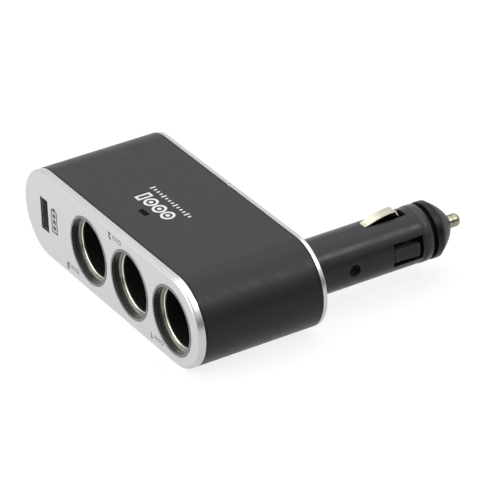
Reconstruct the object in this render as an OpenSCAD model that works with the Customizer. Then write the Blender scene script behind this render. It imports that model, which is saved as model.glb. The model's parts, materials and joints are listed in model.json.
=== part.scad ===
// Three-way car power socket splitter with a USB charging port and a fused plug.
// The origin lies on the plug's axis, where the plug leaves the rear cover.
// +Y runs along the plug to its tip, +X to the body's end beside the plug, and +Z up.
// The body lies behind the origin, in -Y, and its flat underside is what it rests on.

/* [Body] */
// Depth of the body, from its front face to its rear face
body_depth = 51.6; // [46:0.2:60]
// Distance from the plug's axis to the axis of the socket nearest it
plug_shift = 2.5; // [1:0.1:4]
// Distance from that socket's axis to the centre of the body's round end beside it
end_flat = 1.3; // [0.8:0.1:4]
// Distance from the centre of the other round end to the USB port's axis
usb_overhang = 2.1; // [1:0.1:2.6]
// Room between the sockets' collars and the sleeve
sleeve_room = 1.4; // [1.2:0.1:2.4]
// Wall of the sleeve
sleeve_wall = 1.8; // [1.4:0.1:2]
// Depth of the front bezel's band, seen from the side
bezel_band = 2.8; // [2.4:0.1:3.4]
// Thickness of the front bezel's face
bezel_face = 2; // [1.6:0.1:2.2]
// Round edge between the front bezel's face and its band
bezel_round = 1; // [0.4:0.1:1.3]
// Depth of the rear cover's band, which is also its wall
rear_band = 1.7; // [1.5:0.1:2]
// Round edge of the rear cover
rear_round = 0.5; // [0.2:0.1:0.9]
// Shadow gap between the sleeve and the piece at each end of it
seam_gap = 0.25; // [0.1:0.05:0.5]
// Wall of the lips that locate the sleeve on the bezel and on the rear cover
lip_wall = 1.2; // [0.9:0.1:1.3]
// Length of those lips
lip_length = 3; // [2:0.2:4]
// Width of the pry notch in the rear cover's top edge
notch_width = 2.4; // [1.6:0.2:3.4]
// Depth of the pry notch
notch_depth = 0.5; // [0.3:0.1:0.8]

/* [Sockets] */
// Width of the front face between two neighbouring mouth rings
socket_gap = 2.9; // [2.5:0.1:5]
// Height of the body's middle over the socket axes
socket_drop = 0.4; // [0:0.1:0.5]
// Radius of the bore that takes a plug
bore_radius = 10.75; // [10.6:0.05:10.85]
// Wall of the metal socket shell
shell_wall = 0.5; // [0.4:0.1:0.6]
// How much wider in radius the recess in front of the bore is
mouth_ledge = 1.4; // [1.2:0.05:1.6]
// Depth of that recess
mouth_depth = 3.45; // [2.8:0.1:4.5]
// Wall of the mouth ring
ring_wall = 0.45; // [0.3:0.05:0.5]
// Width of the mouth ring's rim on the front face
rim_width = 0.9; // [0.7:0.05:1]
// Thickness of that rim
rim_thickness = 0.6; // [0.4:0.1:1]
// How far the rim stands proud of the front face
rim_proud = 0.15; // [0:0.05:0.3]
// Thickness of the shell's rolled lip
shell_lip = 0.9; // [0.7:0.1:1.2]
// Wall of the bezel's collar round each socket
collar_wall = 1.3; // [1:0.1:1.4]
// Length of the collar's seat behind the shell's lip
collar_seat = 1.2; // [0.8:0.1:2]
// Room between the sockets' rivets and the screws that hold the plug
fixing_gap = 0.8; // [0.5:0.1:3]
// Radius of the hole in the shell's end wall
shell_hole = 5; // [4.6:0.1:5.4]
// How much narrower in radius the shell's foot is, which holds the insulator
foot_step = 0.95; // [0.6:0.05:1.1]
// Free room between the end of the bore and the centre contact's head
contact_room = 0.8; // [0.4:0.1:2]
// Radius of the insulator's flange inside the shell
insulator_radius = 7.6; // [6.6:0.2:9]
// Thickness of the insulator's flange, and of its neck behind the shell
insulator_step = 1.1; // [1:0.1:1.4]
// Radius of the centre contact's head
contact_radius = 3.2; // [2.6:0.1:4]
// Height of the centre contact's head
contact_height = 1; // [0.8:0.1:2]
// Radius of the centre contact's shank
contact_shank = 1.5; // [1.2:0.1:1.8]
// Height of the centre contact's riveted tail
contact_tail = 0.6; // [0.4:0.1:0.8]

/* [Bus bars] */
// Thickness of both bus bars
bus_thickness = 0.8; // [0.6:0.1:0.8]
// Width of the positive bus bar
positive_bus_width = 5; // [4.4:0.2:5.4]
// Width of the ground bus bar
ground_bus_width = 3; // [2.4:0.2:3.2]
// Distance from the hole in the shell's end wall to the ground bus bar
ground_bus_gap = 0.4; // [0.2:0.1:0.6]
// How far the bus bars run past the outer socket axes
bus_overrun = 5.4; // [5:0.2:6]

/* [USB port] */
// Width of the front face between the last mouth ring and the port's slot
usb_gap = 16.55; // [15:0.05:18]
// Width of the port's slot in the bezel
usb_slot_width = 5.6; // [5.4:0.1:6]
// Height of that slot
usb_slot_height = 13.2; // [12.9:0.1:14]
// Depth of the metal shell's front edge behind the face
usb_recess = 0.5; // [0.2:0.1:1]
// Wall of the port's metal shell
usb_wall = 0.3; // [0.25:0.05:0.4]
// Length of the port's metal shell
usb_length = 14.5; // [13.8:0.1:16]
// Depth of the contact tongue's tip behind the face
usb_tongue_depth = 4.6; // [4.5:0.1:5.5]
// Thickness of the contact tongue
usb_tongue_thickness = 1.84; // [1.6:0.02:2]
// Gap between the metal shell and each edge of the contact tongue
usb_tongue_gap = 0.65; // [0.5:0.05:0.9]
// Length of the block that closes the port at the back
usb_block = 2.4; // [2:0.1:3]
// Width of each of the four contacts
usb_contact_width = 1; // [0.8:0.1:1.2]
// Thickness of each contact
usb_contact_thickness = 0.15; // [0.1:0.05:0.25]

/* [Circuit board] */
// Thickness of the circuit board
board_thickness = 1.6; // [1.2:0.2:1.8]
// Height of the circuit board
board_height = 24; // [22:0.5:25]
// Length of the circuit board
board_length = 40; // [38:0.5:41]
// Length of the rails that hold the board
rail_length = 8; // [6:0.5:12]
// Wall of those rails
rail_wall = 1.1; // [0.8:0.1:1.6]
// Radius of the smoothing capacitor
capacitor_radius = 4; // [3.5:0.1:4.6]
// Height of the smoothing capacitor
capacitor_height = 8; // [7:0.5:8.5]
// Width of the square power inductor
inductor_width = 8; // [6.8:0.2:9]
// Height of the power inductor
inductor_height = 4.5; // [3.5:0.1:6]
// Length of the converter chip
chip_length = 5; // [4.6:0.1:6]
// Width of the converter chip's body
chip_width = 4; // [3.6:0.1:4.4]
// Thickness of the converter chip
chip_thickness = 1.5; // [1.2:0.1:2]

/* [Indicator light] */
// Length of the light window, across the body
window_length = 5.1; // [4.6:0.1:6]
// Width of the light window, front to back
window_width = 2.3; // [2:0.1:2.8]
// Distance from the front face to the window's middle
window_distance = 15.2; // [14:0.2:17]
// Width of the flange that holds the window from inside
window_flange = 0.9; // [0.6:0.1:1.2]
// Thickness of that flange
window_flange_thickness = 0.8; // [0.6:0.1:1]
// Radius of the light
light_radius = 1.5; // [1.3:0.1:1.7]
// Height of the light
light_height = 4.6; // [4:0.1:5.4]

/* [Plug] */
// Radius of the plug's barrel
plug_radius = 10.4; // [10.3:0.05:10.5]
// Length of the barrel, from the rear cover's face
barrel_length = 51.2; // [50.6:0.2:54]
// Wall of the barrel
barrel_wall = 1.8; // [1.6:0.1:2]
// Thickness of the barrel's closed front
barrel_front = 4; // [3.6:0.1:4.2]
// How much wider in radius the plug's flange is than the barrel
flange_ledge = 1.7; // [1.2:0.1:1.8]
// Thickness of the plug's flange
flange_thickness = 1.8; // [1.4:0.1:2]
// Wall of the tube that guides the fuse
tube_wall = 1.2; // [1:0.1:1.3]
// Radius of the plug screw's hole
plug_screw_hole = 2.3; // [2.2:0.1:2.5]
// Depth of the plug screw's hole
plug_screw_depth = 5.4; // [4.8:0.1:6]
// Wall of the boss round that hole
plug_boss_wall = 1.1; // [0.9:0.1:1.2]
// Radius of the plug screw's shank
plug_screw_shank = 1.4; // [1.2:0.1:1.6]

/* [Ground contacts] */
// Distance from the barrel's front back to the start of the ground contact
leaf_setback = 22.9; // [22.2:0.1:23.3]
// Distance along the plug from there to the contact's crest
leaf_run = 11.7; // [11:0.1:12.2]
// How far the upper contact's crest stands over the barrel
leaf_rise = 2.55; // [2:0.05:2.8]
// How far the lower contact's crest stands over the barrel
lower_rise = 0.8; // [0.6:0.05:0.85]
// Width of the ground contact
leaf_width = 3.8; // [3.4:0.1:4.2]
// Thickness of the ground contact
leaf_thickness = 0.45; // [0.3:0.05:0.5]
// Radius of the fold at the contact's front
leaf_fold = 1; // [0.7:0.1:1.3]
// Angle of the fold
fold_angle = 62; // [50:1:75]
// Length of the upper contact's leg, from the fold to its end
leaf_leg = 2.6; // [2:0.1:3]
// Length of the lower contact's leg
lower_leg = 1.2; // [0.8:0.1:1.6]
// Width of the strap that joins the two ground contacts
strap_width = 5; // [4:0.2:6]
// Distance from the strap to the boss of the plug screw
strap_gap = 1.1; // [0.4:0.1:2]
// Gap between each edge of the contact and the slot that it sinks into
slot_gap = 0.4; // [0.3:0.05:0.7]
// Length of the slot in front of the contact's end
slot_room = 2.4; // [2:0.1:3]

/* [Retention tongues] */
// Distance from the barrel's front back to the tongue's window
tongue_setback = 16.7; // [16.4:0.1:17.6]
// Length of the window in front of the tongue's end
tongue_room = 1.8; // [1.4:0.1:2]
// Gap between each edge of the tongue and its window
tongue_side_gap = 2.15; // [1.4:0.05:2.4]
// Length of the tongue
tongue_length = 10.6; // [9.6:0.1:11]
// Width of the tongue
tongue_width = 4.8; // [4:0.1:5.4]
// Thickness of the tongue at its root
tongue_thickness = 1.5; // [1.3:0.1:1.6]
// How far the tongue's free end stands over the barrel
tongue_rise = 0.5; // [0.2:0.1:0.7]

/* [Nose] */
// Distance that the tip contact presses in
tip_travel = 3; // [2:0.1:3.1]
// Gap between the barrel and the nose cap, which the seal fills
groove_width = 1.8; // [1.4:0.1:2.2]
// Depth of that gap below the barrel's surface
groove_depth = 1.1; // [0.8:0.1:1.4]
// How much narrower in radius the neck is that the nose cap screws onto
neck_step = 2.8; // [2.5:0.1:3]
// Length of the neck in front of the barrel
neck_length = 6.2; // [5.8:0.1:6.4]
// How far the nose cap's ring stands over the barrel
cap_proud = 0.2; // [0.1:0.05:0.3]
// Length of the nose cap's ring
cap_ring_length = 2.7; // [2.4:0.1:3]
// Length of the whole nose cap
cap_length = 10.2; // [10:0.1:11.4]
// Chamfer of the ring's edges
cap_edge = 0.2; // [0.1:0.05:0.3]
// Width of the line between the ring and the dome
cap_line = 0.3; // [0.2:0.05:0.5]
// How much narrower in radius the nose cap's dome is than the ring
dome_ledge = 0.45; // [0.35:0.05:0.6]
// How far the dome's outline bulges from a straight line
dome_bulge = 0.6; // [0.3:0.05:0.8]
// Width of the flat round the pin at the nose cap's end
nose_rim = 0.45; // [0.3:0.05:0.8]
// Thickness of the nose cap's end, in front of the tip contact's flange
cap_end = 2.8; // [2.5:0.1:3]
// Radius of the tip contact's pin
pin_radius = 2.45; // [2.2:0.05:2.6]
// How far the pin reaches past the nose cap
pin_reach = 5.1; // [4.4:0.1:5.6]
// Round edge of the pin's tip
pin_round = 1.6; // [0.8:0.1:2]
// Length of the tip contact's cup
cup_length = 7; // [6:0.1:7.4]
// Wall of the tip contact's cup
cup_wall = 0.6; // [0.4:0.05:0.65]

/* [Fuse] */
// Radius of the fuse's metal caps
fuse_radius = 3.15; // [3:0.05:3.15]
// Length of the fuse
fuse_length = 30; // [29:0.5:30.5]
// Length of each metal cap
fuse_cap_length = 6; // [5:0.5:7]
// Wall of each metal cap
fuse_cap_wall = 0.3; // [0.2:0.05:0.35]
// Wall of the glass tube
glass_wall = 0.7; // [0.5:0.05:0.9]
// Radius of the fuse's melting wire
element_radius = 0.15; // [0.1:0.05:0.3]
// Radius of the spring's wire
spring_wire = 0.35; // [0.3:0.05:0.4]
// Mean radius of the spring
spring_radius = 2.5; // [2.2:0.05:2.7]
// Distance between neighbouring turns of the spring
spring_pitch = 1.64; // [1.4:0.02:2]
// Thickness of the terminal behind the spring
terminal_thickness = 0.5; // [0.4:0.05:0.6]

/* [Fasteners and wires] */
// Radius of the housing screws' heads
housing_head = 2.6; // [2.3:0.1:2.7]
// Height of the housing screws' heads
housing_head_height = 1.7; // [1.4:0.1:1.8]
// Radius of the housing screws' shanks
housing_shank = 1.3; // [1.1:0.1:1.4]
// Length of the housing screws' shanks
housing_shank_length = 14; // [10:0.5:20]
// Depth of the housing screws' heads below the rear face
head_sink = 0.3; // [0:0.1:0.5]
// Wall round the housing screws' heads
housing_boss_wall = 0.8; // [0.7:0.1:0.9]
// Thickness of the plate that clamps the plug's flange
clamp_thickness = 1.2; // [1:0.1:1.4]
// Radius of the clamp screws' heads
clamp_head = 2; // [1.8:0.1:2.2]
// Height of the clamp screws' heads
clamp_head_height = 1.2; // [1:0.1:1.3]
// Radius of the clamp screws' shanks
clamp_shank = 0.9; // [0.8:0.1:1]
// Radius of the power wires over their insulation
wire_radius = 0.8; // [0.7:0.05:0.9]
// Radius of the light's thinner wires
light_wire_radius = 0.45; // [0.35:0.05:0.5]

/* [Fits] */
// Clearance between fixed pieces that slip together
fit_gap = 0.1; // [0.05:0.05:0.15]
// Running clearance of the pin in the nose cap
running_gap = 0.1; // [0.08:0.01:0.12]
// Clearance round the moving pieces inside the plug
moving_gap = 0.25; // [0.2:0.05:0.3]

/* [Hidden] */
$fn = 96;

// One overrun for every cut
over = 0.5;
// A cross recess's reach and width as shares of its screw head's radius, and its depth as a share
// of the head's height
cross_shares = [0.7, 0.28, 0.5];
// Places of the four USB contacts, as shares of the tongue's width
usb_contact_shares = [-0.32, -0.09, 0.09, 0.32];

// Radii of the sockets, and of the body that holds them
mouth_radius = bore_radius + mouth_ledge;
ring_outside = mouth_radius + ring_wall;
rim_radius = mouth_radius + rim_width;
seat_radius = ring_outside + fit_gap;
shell_radius = bore_radius + shell_wall;
foot_radius = bore_radius - foot_step;
sleeve_inside = seat_radius + collar_wall + sleeve_room;
body_radius = sleeve_inside + sleeve_wall;
lip_radius = sleeve_inside - fit_gap;

// Places along the body: sockets, USB port and round ends
socket_pitch = 2 * rim_radius + socket_gap;
function socket_x(i) = plug_shift - (i - 1) * socket_pitch;
socket_z = -socket_drop;
usb_x = socket_x(3) - rim_radius - usb_gap - usb_slot_width / 2;
end_x = socket_x(1) + end_flat;
far_end_x = usb_x + usb_overhang;
middle_x = (end_x + far_end_x) / 2;
end_reach = (end_x - far_end_x) / 2;
front_y = -body_depth;

// Rear cover, screws and clamp
boss_radius = housing_head + fit_gap + housing_boss_wall;
boss_z = lip_radius - boss_radius;
boss_end = rear_band + lip_length;
screw_columns = [(socket_x(1) + socket_x(2)) / 2, (socket_x(3) + usb_x) / 2];
screw_places = [for (x = screw_columns, side = [-1, 1]) [x, side * boss_z]];
head_seat = -head_sink - housing_head_height;
flange_radius = plug_radius + flange_ledge;
flange_y = -rear_band - flange_thickness;
clamp_y = flange_y - clamp_thickness;
clamp_boss = clamp_shank + housing_boss_wall;
clamp_x = flange_radius + fit_gap + clamp_boss;

// Sockets, from front to back
shell_front = front_y + mouth_depth;
rim_round = rim_thickness / 4;
lip_edge_round = shell_lip / 2;
collar_end = shell_front + shell_lip + collar_seat;
rivet_back = clamp_y - clamp_head_height - fixing_gap;
positive_bus_back = rivet_back - contact_tail;
positive_bus_y = positive_bus_back - bus_thickness;
shell_back = positive_bus_y - insulator_step;
floor_y = shell_back - shell_wall;
ground_bus_y = shell_back;
ground_bus_z = socket_z + shell_hole + ground_bus_gap + ground_bus_width / 2;
contact_y = floor_y - insulator_step;
bore_end = contact_y - contact_height - contact_room;

// USB port and circuit board
usb_outside = [usb_slot_width - 2 * fit_gap, usb_slot_height - 2 * fit_gap];
usb_inside = usb_outside - 2 * [usb_wall, usb_wall];
usb_tongue_width = usb_inside[1] - 2 * usb_tongue_gap;
usb_front = front_y + usb_recess;
usb_back = usb_front + usb_length;
tongue_tip_y = front_y + usb_tongue_depth;
board_x = usb_x + usb_outside[0] / 2 + fit_gap;
board_front = front_y + bezel_face + fit_gap;
board_back = board_front + board_length;
part_y = (usb_back + board_back) / 2;

// Indicator light, between the second socket and the third
light_x = (socket_x(2) + socket_x(3)) / 2;
light_y = front_y + window_distance;
light_top = sleeve_inside - window_flange_thickness - fit_gap;

// Nose, from front to back
neck_radius = plug_radius - neck_step;
cap_radius = plug_radius + cap_proud;
dome_radius = cap_radius - dome_ledge;
cap_start = barrel_length + groove_width;
cap_front = cap_start + cap_length;
pin_end = cap_front + pin_reach;
dome_start = cap_start + cap_ring_length + cap_line;
neck_end = barrel_length + neck_length;
shoulder_y = cap_front - cap_end;
flange_front = shoulder_y - fit_gap;
cup_radius = fuse_radius + cup_wall + fit_gap * 3 / 2;
cup_floor = 2 * cup_wall;
cup_back = flange_front - cup_length;
cup_chamber = cup_radius + moving_gap;
chamber_start = cup_back - tip_travel - moving_gap;
fuse_front = flange_front - cup_floor - fit_gap / 2;
fuse_back = fuse_front - fuse_length;

// Ground contacts: the bow is an arc whose highest point is the crest
leaf_start = barrel_length - leaf_setback;
leaf_root_z = plug_radius - leaf_thickness / 2;
crest_y = leaf_start + leaf_run;
function bow_radius(rise) = (leaf_run * leaf_run + rise * rise) / (2 * rise);
function bow_angle(rise) = asin(leaf_run / bow_radius(rise));
loop_radius = leaf_thickness * 3 / 2;
loop_drop = loop_radius / 2;
loop_y = leaf_start + loop_drop * sin(bow_angle(leaf_rise));
loop_z = leaf_root_z - loop_drop * cos(bow_angle(leaf_rise));
leaf_end = crest_y + (leaf_fold + leaf_thickness / 2) * sin(fold_angle) + leaf_leg * cos(fold_angle);
slot_start = loop_y - loop_radius - moving_gap;
slot_end = leaf_end + slot_room;
slot_width = leaf_width + 2 * slot_gap;

// Inside of the plug
barrel_inside = plug_radius - barrel_wall;
cavity_end = barrel_length - barrel_front;
strap_outside = barrel_inside - fit_gap;
strap_inside = strap_outside - leaf_thickness;
strap_front = loop_y + loop_radius / 2;
strap_back = slot_start - strap_width;
boss_outside = plug_screw_hole + plug_boss_wall;
plug_screw_y = strap_back - strap_gap - boss_outside;
screw_seat = plug_radius - plug_screw_depth;
pilot_end = -plug_radius + barrel_wall * 2;
tube_inside = fuse_radius + moving_gap + fit_gap;
tube_outside = tube_inside + tube_wall;
tube_back = plug_screw_y + boss_outside - tube_wall / 2;
terminal_y = tube_back + tube_wall;
spring_start = terminal_y + terminal_thickness + spring_wire + fit_gap / 2;
spring_end = fuse_back - spring_wire - fit_gap / 2;
wire_z = tube_inside - wire_radius - 2 * fit_gap;

// Retention tongues, which turn about a round root
tongue_start = barrel_length - tongue_setback;
tongue_end = tongue_start + tongue_length;
tongue_window_end = tongue_end + tongue_room;
tongue_window_width = tongue_width + 2 * tongue_side_gap;
tongue_root = tongue_thickness / 2;
tongue_x = plug_radius - tongue_root;
tongue_y = tongue_start + fit_gap + tongue_root;

// Tools for shapes that lie along Y or X
module turned() rotate([-90, 0, 0]) rotate_extrude() children();
module rod_y(r, y0, y1) translate([0, y0, 0]) rotate([-90, 0, 0]) cylinder(h = y1 - y0, r = r);
module rod_x(r, x0, x1) translate([x0, 0, 0]) rotate([0, 90, 0]) cylinder(h = x1 - x0, r = r);
module block(low, high) translate(low) cube(high - low);
module in_body() translate([middle_x, 0, 0]) children();
module at_socket(i) translate([socket_x(i), 0, socket_z]) children();

// A half profile of (radius, y), swept round the body's outline of two half circles and two flats
module around_body() {
    for (side = [-1, 1])
        translate([side * end_reach, 0, 0]) rotate([-90, 0, 0]) rotate([0, 0, -90 * side])
            rotate_extrude(angle = 180) children();
    rotate([0, 90, 0]) linear_extrude(2 * end_reach, center = true) {
        children();
        mirror([1, 0]) children();
    }
}

// What a round edge of radius r takes off a corner at the origin that fills the lower left
module edge_cut(r) translate([-r, -r]) difference() {
    square(r + over);
    circle(r);
}

// A tube along points, with a ring of sides at each point
function unit(v) = v / norm(v);
function heading(p, i) = unit(p[min(i + 1, len(p) - 1)] - p[max(i - 1, 0)]);
function ring(p, i, r, sides, ref) =
    let (t = heading(p, i), u = unit(cross(t, ref)), v = cross(t, u))
    [for (k = [0:sides - 1]) p[i] + r * (cos(360 * k / sides) * u + sin(360 * k / sides) * v)];
module tube(p, r, ref, sides = 8) {
    last = len(p) - 1;
    points = [for (i = [0:last]) each ring(p, i, r, sides, ref)];
    walls = [
        for (i = [0:last - 1], k = [0:sides - 1])
        let (a = i * sides + k, b = i * sides + (k + 1) % sides)
        each [[a, a + sides, b], [b, a + sides, b + sides]]
    ];
    start_cap = [for (k = [0:sides - 1]) k];
    end_cap = [for (k = [sides - 1:-1:0]) last * sides + k];
    polyhedron(points, concat(walls, [start_cap, end_cap]));
}

// A smooth curve through points, with steps between each two
function smooth(p, steps = 4) = [
    for (i = [0:len(p) - 2], s = [0:steps - 1]) curve_point(p, i, s / steps),
    p[len(p) - 1]
];
function curve_point(p, i, t) =
    let (a = p[max(i - 1, 0)], b = p[i], c = p[i + 1], d = p[min(i + 2, len(p) - 1)])
    (2 * b + (c - a) * t + (2 * a - 5 * b + 4 * c - d) * t * t + (3 * b - a - 3 * c + d) * t * t * t) / 2;

// A pan head on a shank along +Y, with its seat at y = 0 and the head in front of it
module screw(head, height, shank, length) {
    difference() {
        rod_y(head, 0, height);
        for (turn = [0, 90]) rotate([0, turn, 0])
            block(
                [-head * cross_shares[0], height * (1 - cross_shares[2]), -head * cross_shares[1] / 2],
                [head * cross_shares[0], height + over, head * cross_shares[1] / 2]
            );
    }
    rod_y(shank, -length, 0);
}

module outer_sleeve() color("#3b3c3e") difference() {
    in_body() around_body() translate([sleeve_inside, front_y + bezel_band + seam_gap])
        square([sleeve_wall, body_depth - bezel_band - rear_band - 2 * seam_gap]);
    translate([light_x, light_y, sleeve_inside - over])
        linear_extrude(sleeve_wall + 2 * over) square([window_length, window_width], center = true);
}

module front_bezel() color("#d6d8d6") difference() {
    union() {
        in_body() around_body() translate([0, front_y]) bezel_profile();
        for (i = [1:3]) at_socket(i) rod_y(seat_radius + collar_wall, front_y + bezel_face / 2, collar_end);
        for (place = screw_places) translate([place[0], 0, place[1]])
            rod_y(boss_radius, front_y + bezel_face / 2, -boss_end - fit_gap);
        for (side = [-1, 1], x = [board_x - fit_gap - rail_wall, board_x + board_thickness + fit_gap])
            translate([x, front_y + bezel_face - over, side * board_height / 2 - rail_wall])
                cube([rail_wall, rail_length + over, 2 * rail_wall]);
    }
    for (i = [1:3]) at_socket(i) {
        rod_y(rim_radius + fit_gap, front_y - over, front_y + rim_thickness - rim_proud);
        rod_y(seat_radius, front_y - over, shell_front + shell_lip);
        rod_y(shell_radius + fit_gap, front_y - over, collar_end + over);
    }
    translate([usb_x, front_y - over, socket_z])
        rotate([-90, 0, 0]) linear_extrude(bezel_face + 2 * over)
            square([usb_slot_width, usb_slot_height], center = true);
    for (place = screw_places) translate([place[0], 0, place[1]])
        rod_y(housing_shank + fit_gap / 2, head_seat - housing_shank_length - fit_gap, over);
}

module bezel_profile() difference() {
    union() {
        square([body_radius, bezel_face]);
        translate([lip_radius - lip_wall, 0]) square([lip_wall, bezel_band + lip_length]);
        translate([lip_radius - lip_wall, 0]) square([body_radius - lip_radius + lip_wall, bezel_band]);
    }
    translate([body_radius, 0]) mirror([0, 1]) edge_cut(bezel_round);
}

module rear_cover() color("#cfd1cf") difference() {
    union() {
        in_body() around_body() rear_profile();
        for (place = screw_places) translate([place[0], 0, place[1]])
            rod_y(boss_radius, -boss_end, -rear_band / 2);
        for (side = [-1, 1]) translate([side * clamp_x, 0, 0]) rod_y(clamp_boss, flange_y, -rear_band / 2);
    }
    rod_y(plug_radius + fit_gap / 2, -boss_end - over, over);
    for (place = screw_places) translate([place[0], 0, place[1]]) {
        rod_y(housing_head + fit_gap, head_seat, over);
        rod_y(housing_shank + fit_gap, -boss_end - over, over);
    }
    for (side = [-1, 1]) translate([side * clamp_x, 0, 0])
        rod_y(clamp_shank + fit_gap / 2, flange_y - over, -rear_band / 2);
    in_body() translate([-notch_width / 2, -rear_band, body_radius - notch_depth])
        cube([notch_width, rear_band + over, notch_depth + over]);
}

module rear_profile() difference() {
    union() {
        translate([0, -rear_band]) square([body_radius, rear_band]);
        translate([lip_radius - lip_wall, -rear_band - lip_length]) square([lip_wall, lip_length + over]);
    }
    translate([body_radius, 0]) edge_cut(rear_round);
}

module light_window() color("#471c1c") translate([light_x, light_y, 0]) {
    translate([0, 0, sleeve_inside - window_flange_thickness])
        linear_extrude(window_flange_thickness)
            square([window_length + 2 * window_flange, window_width + 2 * window_flange], center = true);
    translate([0, 0, sleeve_inside - window_flange_thickness / 2])
        linear_extrude(sleeve_wall + window_flange_thickness / 2)
            square([window_length - fit_gap, window_width - fit_gap], center = true);
}

module mouth_ring(i) color("#a9abac") at_socket(i) turned() difference() {
    union() {
        translate([mouth_radius, front_y - rim_proud]) square([rim_width, rim_thickness]);
        translate([mouth_radius, front_y - rim_proud]) square([ring_wall, mouth_depth + rim_proud]);
    }
    translate([mouth_radius, front_y - rim_proud]) rotate(180) edge_cut(rim_round);
    translate([rim_radius, front_y - rim_proud]) mirror([0, 1]) edge_cut(rim_round);
}

module socket_shell(i) color("#d9d3c0") at_socket(i) turned() difference() {
    union() {
        translate([bore_radius, shell_front]) square([ring_outside - bore_radius, shell_lip]);
        translate([bore_radius, shell_front]) square([shell_wall, bore_end + shell_wall - shell_front]);
        translate([foot_radius, bore_end]) square([shell_radius - foot_radius, shell_wall]);
        translate([foot_radius, bore_end]) square([shell_wall, shell_back - bore_end]);
        translate([shell_hole, floor_y])
            square([foot_radius + shell_wall - shell_hole, shell_wall]);
    }
    translate([bore_radius, shell_front]) rotate(180) edge_cut(lip_edge_round);
}

module socket_insulator(i) color("#4a2f22") at_socket(i) turned() {
    translate([contact_shank + fit_gap / 2, contact_y])
        square([insulator_radius - contact_shank - fit_gap / 2, insulator_step]);
    translate([contact_shank + fit_gap / 2, floor_y - insulator_step / 2])
        square([shell_hole - contact_shank - fit_gap, positive_bus_y - floor_y + insulator_step / 2]);
}

module centre_contact(i) color("#c9a45c") at_socket(i) turned() difference() {
    union() {
        translate([0, contact_y - contact_height]) square([contact_radius, contact_height]);
        translate([0, contact_y - contact_height / 2])
            square([contact_shank, positive_bus_back - contact_y + contact_height / 2]);
        translate([0, positive_bus_back]) square([contact_shank * 3 / 2, contact_tail]);
    }
    translate([contact_radius, contact_y - contact_height]) mirror([0, 1]) edge_cut(contact_height / 2);
}

module bus_bar(y, z, width, hole) difference() {
    block(
        [socket_x(3) - bus_overrun, y, z - width / 2],
        [socket_x(1) + bus_overrun, y + bus_thickness, z + width / 2]
    );
    if (hole > 0) for (i = [1:3]) at_socket(i) rod_y(hole, y - over, y + bus_thickness + over);
}

module positive_bus_bar() color("#b8864b")
    bus_bar(positive_bus_y, socket_z, positive_bus_width, contact_shank + fit_gap / 2);

// This bar is cut back where a screw post would reach it
module ground_bus_bar() color("#b9b9b4") difference() {
    bus_bar(ground_bus_y, ground_bus_z, ground_bus_width, 0);
    for (place = screw_places) translate([place[0], 0, place[1]])
        rod_y(boss_radius + fit_gap, ground_bus_y - over, ground_bus_y + bus_thickness + over);
}

// A block along Y whose section is centred on the USB port's axis
module usb_block_between(size, y0, y1) translate([usb_x, y0, socket_z])
    rotate([-90, 0, 0]) linear_extrude(y1 - y0) square(size, center = true);

module usb_shell() color("#b4b7ba") difference() {
    usb_block_between(usb_outside, usb_front, usb_back);
    usb_block_between(usb_inside, usb_front - over, usb_back + over);
}

module usb_tongue() color("#26282b") {
    usb_block_between([usb_tongue_thickness, usb_tongue_width], tongue_tip_y, usb_back);
    usb_block_between(usb_inside - [fit_gap, fit_gap], usb_back - usb_block, usb_back);
}

module usb_contacts() color("#d8b45c") for (share = usb_contact_shares)
    translate([
        usb_x - usb_tongue_thickness / 2 - usb_contact_thickness,
        tongue_tip_y + usb_contact_width,
        socket_z + share * usb_tongue_width - usb_contact_width / 2
    ]) cube([
        usb_contact_thickness,
        usb_back - usb_block - tongue_tip_y - usb_contact_width,
        usb_contact_width
    ]);

module circuit_board() color("#1f5a3a") block(
    [board_x, board_front, -board_height / 2],
    [board_x + board_thickness, board_back, board_height / 2]
);

// Places a part of the converter on the board's face, along -X from it
module on_board(y, z) translate([board_x, y, z]) rotate([0, -90, 0]) children();

module smoothing_capacitor() color("#22262e") on_board(part_y - chip_length, board_height / 4) {
    cylinder(h = capacitor_height - capacitor_radius / 8, r = capacitor_radius);
    cylinder(h = capacitor_height, r = capacitor_radius * 7 / 8);
}

module power_inductor() color("#34363a") on_board(part_y - chip_length, -board_height / 4)
    linear_extrude(inductor_height) intersection() {
        square(inductor_width, center = true);
        rotate(45) square(inductor_width * 6 / 5, center = true);
    }

module converter_chip() color("#17181a") on_board(part_y + chip_length * 3 / 2, 0) {
    linear_extrude(chip_thickness) square([chip_width, chip_length], center = true);
    for (k = [-3:2:3]) translate([0, k * chip_length / 8])
        linear_extrude(chip_thickness / 4) square([chip_width * 3 / 2, chip_length / 12], center = true);
}

module indicator_light() color("#b33a35") translate([light_x, light_y, light_top - light_height]) {
    cylinder(h = light_height, r = light_radius);
    cylinder(h = light_radius / 2, r = light_radius * 5 / 4);
}

// Two thin wires from the light, over the socket beside it, to the board
module light_wires() color("#8c2b28") for (side = [-1, 1]) {
    base_z = light_top - light_height - fit_gap / 2;
    crown_z = socket_z + shell_radius + 3 * light_wire_radius;
    landing_z = board_height / 4;
    tube(smooth([
        [light_x, light_y, base_z],
        [light_x - light_radius / 2, light_y, base_z - light_radius],
        [light_x - light_radius * 3, light_y, base_z - light_radius / 3],
        [socket_x(3) + shell_radius / 2, light_y, crown_z - light_radius / 2],
        [socket_x(3), light_y, crown_z],
        [socket_x(3) - shell_radius / 2, light_y, crown_z - light_radius / 2],
        [socket_x(3) - shell_radius, light_y, landing_z + light_radius],
        [board_x + board_thickness + light_height, light_y, landing_z],
        [board_x + board_thickness + fit_gap, light_y, landing_z]
    ] + [for (k = [0:8]) [0, side * light_radius / 2, 0]]), light_wire_radius, [0, 1, 0]);
}

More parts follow.
